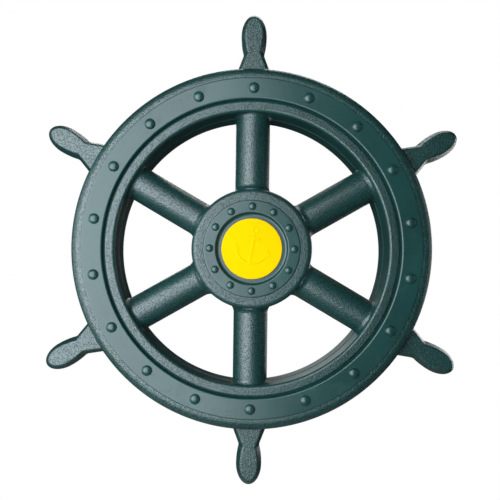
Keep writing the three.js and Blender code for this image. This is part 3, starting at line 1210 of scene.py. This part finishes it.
@dataclass
class Handles:
    """Six flat-faced grip handles: a straight taper to a waist, then a swell that ends in an oval tip."""

    count: int = 6
    root_half: float = 20.0
    waist_half: float = 12.05
    grip_half: float = 14.9
    thickness_half: float = 14.0
    taper_length: float = 20.8
    swell_length: float = 22.0
    swell_reach: float = 39.0
    tip_length: float = 25.0
    draft: float = 4.3
    tip_pull: float = 0.84
    border: float = 2.2
    corner_rounding: float = 2.0
    buried: float = 2.2
    taper_steps: int = 2
    swell_steps: int = 14
    tip_steps: int = 20

    def side(self, wall: float) -> list[tuple[float, float]]:
        """Works out one side of the outline, from the root to just before the tip.

        Args:
            wall: Radius of the rim's outer wall.

        Returns:
            Half width and distance from the axis of each corner, in millimetres.
        """
        waist = wall + self.taper_length
        widest = waist + self.swell_length
        slope = (self.waist_half - self.root_half) / self.taper_length
        start = wall - self.buried - self.draft
        corners = []
        for step in range(self.taper_steps):
            place = start + (waist - start) * step / self.taper_steps
            corners.append((self.root_half + slope * (place - wall), place))
        least = math.sqrt(1 - (self.swell_length / self.swell_reach) ** 2)
        for step in range(self.swell_steps):
            place = waist + self.swell_length * step / self.swell_steps
            full = math.sqrt(1 - ((widest - place) / self.swell_reach) ** 2)
            share = (full - least) / (1 - least)
            corners.append((self.waist_half + share * (self.grip_half - self.waist_half), place))
        for step in range(self.tip_steps):
            climb = math.radians(90 * step / self.tip_steps)
            corners.append((self.grip_half * math.cos(climb), widest + self.tip_length * math.sin(climb)))
        return corners

    def outline(self, wall: float, middle: float) -> list[Vector]:
        """Joins both sides and the tip to a closed outline.

        Args:
            wall: Radius of the rim's outer wall.
            middle: Y of the handle's middle plane in metres.

        Returns:
            The corners in order, the first one again at the end.
        """
        side = self.side(wall)
        tip = (0.0, wall + self.taper_length + self.swell_length + self.tip_length)
        corners = [*side, tip, *[(-half, place) for half, place in reversed(side)], side[0]]
        return [Vector((half * MM, middle, place * MM)) for half, place in corners]

    def model(self) -> Piece:
        """Models the handle that points straight up."""
        wall = Reach.of("rim_rear_shell").outer
        low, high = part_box("handle_1")
        middle = (low.y + high.y) / 2
        places = self.outline(wall, middle)
        root = (wall - self.buried) * MM
        slope = (self.waist_half - self.root_half) / self.taper_length
        bpy.ops.object.select_all(action="DESELECT")
        bpy.ops.mesh.primitive_plane_add(size=MM, location=places[0])
        piece = new_piece("handle_1_fine")
        with editing(piece):
            draw_line(places)
            bpy.ops.mesh.edge_face_add()
            self.face_front(piece)
            bpy.ops.mesh.inset(thickness=self.draft * MM, depth=self.thickness_half * MM)
            bpy.ops.mesh.inset(thickness=self.border * MM, depth=0.0)
            widest = (wall + self.taper_length + self.swell_length) * MM
            reshape(piece, lambda place: self.settled(place, root, slope, widest, middle))
            bpy.ops.mesh.select_all(action="SELECT")
            bpy.ops.mesh.duplicate()
            bpy.ops.transform.resize(value=(1.0, -1.0, 1.0), center_override=(0.0, middle, 0.0))
            close_up()
        soften(piece, self.corner_rounding, segments=4, sharpness=28.0)
        smooth(piece, 25.0)
        return piece

    @staticmethod
    def face_front(piece: Piece) -> None:
        """Turns the one face of a piece in edit mode towards the front."""
        mesh = bmesh.from_edit_mesh(piece.data)
        mesh.normal_update()
        mesh.faces.ensure_lookup_table()
        if mesh.faces[0].normal.y > 0:
            bpy.ops.mesh.flip_normals()

    def settled(self, place: Vector, root: float, slope: float, widest: float, middle: float) -> Vector:
        """Slides a corner too deep in the rim up the taper, and draws the flat face back from the tip.

        Args:
            place: The old place.
            root: Least distance from the axis in metres.
            slope: Change of the half width along the taper.
            widest: Distance of the widest place from the axis in metres.
            middle: Y of the handle's middle plane in metres.

        Returns:
            The new place.
        """
        if place.z < root:
            narrowed = abs(place.x) + slope * (root - place.z)
            return Vector((math.copysign(narrowed, place.x), place.y, root))
        if place.z > widest and not math.isclose(place.y, middle, abs_tol=WELD_DISTANCE):
            return Vector((place.x, place.y, widest + self.tip_pull * (place.z - widest)))
        return place

    def build(self, palette: Palette) -> None:
        """Builds the handles and dresses them from the palette."""
        set_round(self.model(), "handle", self.count, palette)


@dataclass
class Hub:
    """The hollow hub: a front and a rear shell, and the riveted ring on its face."""

    steps: int = 160
    wall: float = 4.0
    edge_radius: float = 6.0
    seat_gap: float = 0.3
    seat_depth: float = 2.8
    cap_opening: float = 30.0
    core_opening: float = 22.3
    cove_radius: float = 3.0
    ring_gap: float = 0.05
    ring_outer_ease: Ease = Ease(3.4, 68.0)
    ring_inner_ease: Ease = Ease(1.6, 35.0)
    back_ring: tuple[float, float] = (50.0, 54.0)
    back_ring_height: float = 0.8
    grain_off_ring: float = 0.2
    grain_overrun: float = 5.0
    front: Reach = field(default_factory=lambda: Reach.of("hub_front_shell"))
    rear: Reach = field(default_factory=lambda: Reach.of("hub_rear_shell"))
    ring: Reach = field(default_factory=lambda: Reach.of("hub_ring"))

    def front_shell(self) -> Piece:
        """Models the front shell: shoulder, seat of the riveted ring and opening for the cap."""
        outer, face, edge = self.front.outer, self.front.front, self.front.back
        seat = face - self.seat_depth
        section = Section(outer, edge)
        section.rounded(Corner.OUTER_FRONT, outer, face, self.edge_radius, 10)
        section.to(self.ring.outer + self.seat_gap, face).to(self.ring.outer + self.seat_gap, seat)
        cove_outer = self.ring.inner - self.ring_gap
        section.to(cove_outer, seat)
        section.arc((cove_outer - self.cove_radius, seat + self.cove_radius), self.cove_radius, 0, -90, 8)
        section.to(self.cap_opening, seat).to(self.cap_opening, seat - self.wall)
        section.to(outer - self.wall, seat - self.wall).to(outer - self.wall, edge).close()
        return finish_turning("hub_front_shell_fine", section, self.steps, 0.25, 50.0)

    def rear_shell(self) -> Piece:
        """Models the rear shell, with a raised ring round the bearing."""
        outer, back, edge = self.rear.outer, self.rear.back, self.rear.front
        floor = back + self.wall
        section = Section(outer, edge).to(outer - self.wall, edge).to(outer - self.wall, floor)
        section.to(self.core_opening, floor).to(self.core_opening, back)
        low, high = self.back_ring
        section.to(low, back).to(low + 1, back + self.back_ring_height)
        section.to(high - 1, back + self.back_ring_height).to(high, back)
        section.rounded(Corner.OUTER_BACK, outer, back, self.edge_radius, 10).close()
        return finish_turning("hub_rear_shell_fine", section, self.steps, 0.35)

    def riveted_ring(self) -> Piece:
        """Models the raised ring with rounded borders."""
        ring = self.ring
        section = Section(ring.inner, ring.back).to(ring.outer, ring.back)
        section.eased_face(ring, self.ring_outer_ease, self.ring_inner_ease).close()
        return finish_turning("hub_ring_fine", section, self.steps)

    def build(self, palette: Palette) -> None:
        """Builds and dresses the hub.

        Args:
            palette: The finishes.
        """
        zones = ((self.ring.outer + self.grain_off_ring, self.front.outer + self.grain_overrun),)
        front_finish = palette.grained_plastic("Green plastic, grained shoulder", zones)
        palette.dress(self.front_shell(), front_finish, Body.WHEEL, "hub_front_shell")
        palette.dress(self.rear_shell(), palette.grained_green, Body.WHEEL, "hub_rear_shell")
        palette.dress(self.riveted_ring(), palette.smooth_green, Body.WHEEL, "hub_ring")


@dataclass
class CentreCap:
    """The yellow snap-in cap, with a plain anchor in low relief."""

    steps: int = 128
    edge_radius: float = 0.9
    skirt_radius: float = 29.7
    skirt_wall: float = 2.2
    flange: float = 1.6
    relief: float = 0.45
    rounding_share: float = 0.8
    tilt: float = 10.5
    shank_length: float = 33.0
    shank_width: float = 3.0
    stock_length: float = 15.0
    stock_width: float = 2.6
    stock_drop: float = 4.5
    eye_radius: float = 3.2
    eye_thickness: float = 1.1
    eye_rise: float = 1.5
    arm_radius: float = 17.5
    arm_width: float = 2.8
    arm_slope: float = 0.6
    arm_sunk: float = 0.5
    arm_cut_share: float = 0.28
    fluke_size: float = 5.5
    fluke_drop_share: float = 0.2
    cap: Reach = field(default_factory=lambda: Reach.of("centre_cap"))

    def disc(self) -> Piece:
        """Models the cap's face, rounded border and skirt."""
        cap = self.cap
        flange_back = cap.front - self.flange
        section = Section(0.0, flange_back).to(self.skirt_radius - self.skirt_wall, flange_back)
        section.to(self.skirt_radius - self.skirt_wall, cap.back).to(self.skirt_radius, cap.back)
        section.to(self.skirt_radius, flange_back).to(cap.outer, flange_back)
        section.rounded(Corner.OUTER_FRONT, cap.outer, cap.front, self.edge_radius, 5)
        section.to(0.0, cap.front)
        return turn("centre_cap_fine", section, self.steps)

    def bar(self, name: str, height: float, width: float, length: float) -> Piece:
        """Models a straight bar of the anchor with sloping sides.

        Args:
            name: Name of the bar.
            height: Height of its middle in millimetres.
            width: Its width in millimetres.
            length: Its length, upwards, in millimetres.

        Returns:
            The bar, half sunk into the cap's face.
        """
        bpy.ops.object.select_all(action="DESELECT")
        bpy.ops.mesh.primitive_cube_add(
            size=1.0, location=(0.0, -self.cap.front * MM, height * MM),
            scale=(width * MM, 2 * self.relief * MM, length * MM),
        )
        bar = new_piece(name)
        soften(bar, self.relief * self.rounding_share, segments=3)
        return bar

    def eye(self) -> Piece:
        """Models the ring at the anchor's top."""
        bpy.ops.object.select_all(action="DESELECT")
        top = self.shank_length / 2 + self.eye_radius + self.eye_rise
        bpy.ops.mesh.primitive_torus_add(
            major_radius=self.eye_radius * MM, minor_radius=self.eye_thickness * MM,
            major_segments=32, minor_segments=10,
            location=(0.0, (self.eye_thickness - self.relief) * MM - self.cap.front * MM, top * MM),
            rotation=(math.pi / 2, 0.0, 0.0),
        )
        return new_piece("anchor_eye")

    def arms(self) -> Piece:
        """Models the curved arms as part of a turned ring."""
        low, high = self.arm_radius - self.arm_width / 2, self.arm_radius + self.arm_width / 2
        face, slope = self.cap.front, self.arm_slope
        centre_height = -self.shank_length / 2 + self.arm_radius
        section = Section(low, face - self.arm_sunk).to(high, face - self.arm_sunk)
        section.to(high, face).to(high - slope, face + self.relief).to(low + slope, face + self.relief)
        section.to(low, face).close()
        arms = turn("anchor_arms", section, 96, off_axis=centre_height)
        with editing(arms):
            cut_height = (centre_height - self.arm_cut_share * self.arm_radius) * MM
            bpy.ops.mesh.bisect(
                plane_co=(0.0, 0.0, cut_height), plane_no=(0.0, 0.0, 1.0), use_fill=True, clear_outer=True
            )
            close_up()
        return arms

    def flukes(self) -> list[Piece]:
        """Models the two pointed ends of the arms."""
        face = -self.cap.front * MM
        centre_height = -self.shank_length / 2 + self.arm_radius
        height = (centre_height - self.fluke_drop_share * self.arm_radius) * MM
        flukes = []
        for side in (-1, 1):
            bpy.ops.object.select_all(action="DESELECT")
            bpy.ops.mesh.primitive_cylinder_add(
                vertices=3, radius=self.fluke_size * MM, depth=2 * self.relief * MM,
                location=(side * self.arm_radius * MM, face, height),
                rotation=(math.pi / 2, 0.0, 0.0),
            )
            fluke = new_piece("anchor_fluke")
            soften(fluke, self.relief * self.rounding_share, segments=3)
            flukes.append(fluke)
        return flukes

    def tilt_anchor(self, part: Piece) -> None:
        """Leans a part of the anchor clockwise about the cap's middle."""
        pick(part)
        part.rotation_euler = (0.0, math.radians(self.tilt), 0.0)
        bpy.ops.object.transform_apply(location=False, rotation=True, scale=False)

    def build(self, palette: Palette) -> None:
        """Builds and dresses the cap.

        Args:
            palette: The finishes.
        """
        cap = self.disc()
        shank = self.bar("anchor_shank", 0.0, self.shank_width, self.shank_length)
        stock_height = self.shank_length / 2 - self.stock_drop
        stock = self.bar("anchor_stock", stock_height, self.stock_length, self.stock_width)
        for part in (shank, stock, self.eye(), self.arms(), *self.flukes()):
            self.tilt_anchor(part)
            combine(cap, part, "UNION")
        smooth(cap, 30.0)
        palette.dress(cap, palette.yellow, Body.WHEEL, "centre_cap")


@dataclass
class Mounting:
    """The wall plate with its welded boss, and the bearing pieces that show beside it."""

    steps: int = 128
    plate_thickness: float = 6.0
    plate_edge: float = 1.2
    boss_radius: float = 20.0
    socket_radius: float = 8.3
    socket_floor: float = 4.0
    weld_size: float = 4.0
    weld_ripples: int = 46
    weld_offset_share: float = 0.35
    weld_radius_share: float = 0.62
    weld_ripple_depth: float = 0.12
    hole_count: int = 4
    hole_circle: float = 46.0
    hole_radius: float = 4.0
    countersink: float = 7.6
    sleeve_radius: float = 11.7
    bush_flange: float = 2.0
    core_radius: float = 22.0
    core_flange: float = 4.0
    core_flange_gap: float = 4.3
    plate: Reach = field(default_factory=lambda: Reach.of("wall_plate"))

    def wall_plate(self) -> Piece:
        """Models the plate, its boss and the countersunk screw holes."""
        outer = self.plate.outer
        section = Section(0.0, 0.0).to(outer - self.plate_edge, 0.0).to(outer, self.plate_edge)
        section.rounded(Corner.OUTER_FRONT, outer, self.plate_thickness, self.plate_edge, 4)
        section.to(self.boss_radius, self.plate_thickness).to(self.boss_radius, self.plate.front)
        section.to(self.socket_radius, self.plate.front).to(self.socket_radius, self.socket_floor)
        section.to(0.0, self.socket_floor)
        piece = turn("wall_plate_fine", section, self.steps)
        for index in range(self.hole_count):
            combine(piece, self.screw_hole(index * 360 / self.hole_count), "DIFFERENCE")
        soften(piece, 0.35)
        smooth(piece)
        return piece

    def screw_hole(self, clockwise: float) -> Piece:
        """Models the shape that a countersunk hole takes out.

        Args:
            clockwise: Angle in degrees from straight up.

        Returns:
            The shape.
        """
        sink_depth = self.plate_thickness - (self.countersink - self.hole_radius)
        section = Section(0.0, -1.0).to(self.hole_radius, -1.0).to(self.hole_radius, sink_depth)
        section.to(self.countersink, self.plate_thickness).to(self.countersink, self.plate_thickness + 1)
        section.to(0.0, self.plate_thickness + 1)
        hole = turn("screw_hole", section, 48, off_axis=self.hole_circle)
        hole.rotation_euler = (0.0, math.radians(clockwise), 0.0)
        return new_piece("screw_hole")

    def weld(self) -> Piece:
        """Models the rippled weld bead round the boss."""
        major = self.boss_radius + self.weld_offset_share * self.weld_size
        depth = self.plate_thickness + self.weld_offset_share * self.weld_size
        bpy.ops.object.select_all(action="DESELECT")
        bpy.ops.mesh.primitive_torus_add(
            major_radius=major * MM, minor_radius=self.weld_radius_share * self.weld_size * MM,
            major_segments=8 * self.weld_ripples, minor_segments=14,
            location=(0.0, -depth * MM, 0.0), rotation=(math.pi / 2, 0.0, 0.0),
        )
        bead = new_piece("wall_plate_weld")
        with editing(bead):
            reshape(bead, lambda place: self.rippled(place, major * MM, depth * MM))
        smooth(bead, 60.0)
        return bead

    def rippled(self, place: Vector, major: float, depth: float) -> Vector:
        """Swells a place on the weld bead into overlapping scales.

        Args:
            place: The old place.
            major: Radius of the bead's centre line in metres.
            depth: Depth of the bead's centre line in metres.

        Returns:
            The new place.
        """
        angle = math.atan2(place.z, place.x)
        centre = Vector((major * math.cos(angle), -depth, major * math.sin(angle)))
        phase = (angle * self.weld_ripples / FULL_TURN) % 1.0
        swell = 1 - self.weld_ripple_depth * (1 - math.sqrt(phase))
        return centre + (place - centre) * swell

    def bearing(self, palette: Palette) -> None:
        """Models the round bearing pieces that show behind the hub.

        Args:
            palette: The finishes.
        """
        washer = Reach.of("rear_washer")
        section = Section(washer.inner, washer.back).to(washer.outer, washer.back)
        section.to(washer.outer, washer.front).to(washer.inner, washer.front).close()
        piece = finish_turning("rear_washer_fine", section, self.steps, 0.3)
        palette.dress(piece, palette.bright, Body.MOUNT, "rear_washer")

        bush = Reach.of("rear_bush")
        flange_front = bush.back + self.bush_flange
        section = Section(bush.inner, bush.back).to(bush.outer, bush.back).to(bush.outer, flange_front)
        section.to(self.sleeve_radius, flange_front).to(self.sleeve_radius, bush.front)
        section.to(bush.inner, bush.front).close()
        piece = finish_turning("rear_bush_fine", section, self.steps, 0.3)
        palette.dress(piece, palette.black, Body.WHEEL, "rear_bush")

        core = Reach.of("hub_core")
        flange_back = Reach.of("hub_rear_shell").back + self.core_flange_gap
        flange_front = flange_back + self.core_flange
        section = Section(core.inner, core.back).to(self.core_radius, core.back)
        section.to(self.core_radius, flange_back).to(core.outer, flange_back)
        section.to(core.outer, flange_front).to(self.core_radius, flange_front)
        section.to(self.core_radius, core.front).to(core.inner, core.front).close()
        piece = finish_turning("hub_core_fine", section, self.steps, 0.4)
        palette.dress(piece, palette.black, Body.WHEEL, "hub_core")

    def build(self, palette: Palette) -> None:
        """Builds and dresses the mounting.

        Args:
            palette: The finishes.
        """
        palette.dress(self.wall_plate(), palette.galvanised, Body.MOUNT, "wall_plate")
        palette.dress(self.weld(), palette.galvanised, Body.MOUNT)
        self.bearing(palette)
        for node in ("spindle", "front_washer", "lock_nut"):
            palette.dress_node(node, palette.bright)
        palette.dress_node("front_bush", palette.black)


# ---- The studio ----


@dataclass
class Softbox:
    """A rectangular lamp that points at the wheel."""

    name: str
    place: tuple[float, float, float]
    target: tuple[float, float, float]
    width: float
    height: float
    radiance: float
    colour: Colour

    def build(self) -> None:
        """Adds the lamp."""
        bpy.ops.object.light_add(type="AREA", location=self.place)
        lamp = bpy.context.object
        lamp.name = self.name
        aim = Vector(self.target) - Vector(self.place)
        lamp.rotation_euler = aim.to_track_quat("-Z", "Y").to_euler()
        lamp.data.shape = "RECTANGLE"
        lamp.data.size = self.width
        lamp.data.size_y = self.height
        lamp.data.energy = self.radiance * math.pi * self.width * self.height
        lamp.data.color = self.colour
        LOG.info("lamp %s", self.name)


@dataclass
class Studio:
    """Camera, lamps, surroundings and floor."""

    camera_place: tuple[float, float, float] = (-0.013, -0.7361, -0.0375)
    camera_roll: float = 0.75
    lens: float = 42.24
    shift: tuple[float, float] = (0.0206, 0.0646)
    ambient: Colour = (0.016, 0.018, 0.02)
    floor_height: float = -1.1
    floor_radius: float = 2.2
    floor_centre: float = -0.5
    floor_colour: Colour = (0.8, 0.8, 0.79)
    floor_glow: float = 0.32
    floor_bounce: Colour = (0.3, 0.3, 0.3)
    floor_roughness: float = 0.8
    lamps: tuple[Softbox, ...] = (
        Softbox("key_softbox", (-0.62, -0.95, 0.05), (-0.62, 0.0, 0.05), 1.28, 1.3, 5.6, (0.90, 0.985, 1.06)),
        Softbox("hot_softbox", (-0.64, -0.93, 0.05), (-0.64, 0.0, 0.05), 0.34, 1.0, 3.6, (0.90, 0.985, 1.06)),
        Softbox("left_softbox", (-1.6, -0.65, 0.1), (0.0, -0.65, 0.1), 1.7, 1.6, 1.8, (0.92, 1.0, 1.04)),
        Softbox("right_softbox", (1.4, 0.1, 0.1), (0.0, 0.0, 0.0), 1.0, 1.0, 0.9, (0.95, 1.0, 1.0)),
        Softbox("back_softbox", (-0.28, 1.3, 0.55), (0.0, 0.0, 0.0), 0.5, 0.5, 3.6, (0.95, 1.0, 1.0)),
        Softbox("top_softbox", (0.35, 1.4, 2.0), (0.0, 0.0, 0.0), 1.4, 0.9, 3.0, (0.95, 1.0, 1.0)),
        Softbox("rear_softbox", (1.15, 1.3, 0.0), (0.6, 0.0, 0.0), 0.6, 1.0, 1.8, (0.95, 1.0, 1.0)),
    )

    def camera(self) -> None:
        """Adds the camera, square to the wheel's face."""
        bpy.ops.object.camera_add(location=self.camera_place)
        camera = bpy.context.object
        camera.name = "camera"
        upright = Matrix.Rotation(math.pi / 2, 3, "X")
        rolled = upright @ Matrix.Rotation(math.radians(self.camera_roll), 3, "Z")
        camera.rotation_euler = rolled.to_euler()
        camera.data.sensor_width = 36.0
        camera.data.lens = self.lens
        camera.data.shift_x, camera.data.shift_y = self.shift
        camera.data.clip_start = 0.01
        bpy.context.scene.camera = camera

    def surroundings(self) -> None:
        """Makes a white backdrop that only the camera sees, and faint light from all round."""
        world = bpy.data.worlds.new("studio")
        bpy.context.scene.world = world
        world.use_nodes = True
        wiring = Wiring(world.node_tree)
        background = world.node_tree.nodes["Background"]
        seen = wiring.add("ShaderNodeLightPath").outputs["Is Camera Ray"]
        wiring.feed(background.inputs["Color"], wiring.blend(seen, self.ambient, (1.0, 1.0, 1.0)))

    def floor(self) -> None:
        """Adds a pale round floor well below the wheel."""
        bpy.ops.object.select_all(action="DESELECT")
        bpy.ops.mesh.primitive_circle_add(
            vertices=96, radius=self.floor_radius, fill_type="NGON",
            location=(0.0, self.floor_centre, self.floor_height),
        )
        floor = new_piece("studio_floor")
        material = bpy.data.materials.new("Studio floor")
        material.use_nodes = True
        shader = material.node_tree.nodes["Principled BSDF"]
        wiring = Wiring(material.node_tree)
        seen = wiring.add("ShaderNodeLightPath").outputs["Is Camera Ray"]
        wiring.feed(shader.inputs["Base Color"], wiring.blend(seen, self.floor_bounce, self.floor_colour))
        wiring.feed(shader.inputs["Emission Color"], wiring.blend(seen, (0.0, 0.0, 0.0), self.floor_colour))
        shader.inputs["Emission Strength"].default_value = self.floor_glow
        shader.inputs["Roughness"].default_value = self.floor_roughness
        floor.data.materials.append(material)

    def build(self) -> None:
        """Builds the studio."""
        bpy.context.scene.view_settings.view_transform = "Standard"
        self.camera()
        self.surroundings()
        self.floor()
        for lamp in self.lamps:
            lamp.build()


def main() -> None:
    """Builds the wheel piece by piece, and the studio round it."""
    logging.basicConfig(level=logging.INFO, format="%(name)s: %(message)s")
    palette = Palette()
    assemblies = (
        Rim(),
        Rivets("rim_rivet", 18, head_radius=5.9, head_height=3.6),
        Spokes(),
        Handles(),
        Hub(),
        Rivets("hub_rivet", 12, head_radius=4.3, head_height=2.8),
        CentreCap(),
        Mounting(),
    )
    for assembly in assemblies:
        LOG.info("building %s", type(assembly).__name__)
        assembly.build(palette)
    Studio().build()


if __name__ == "__main__":
    main()
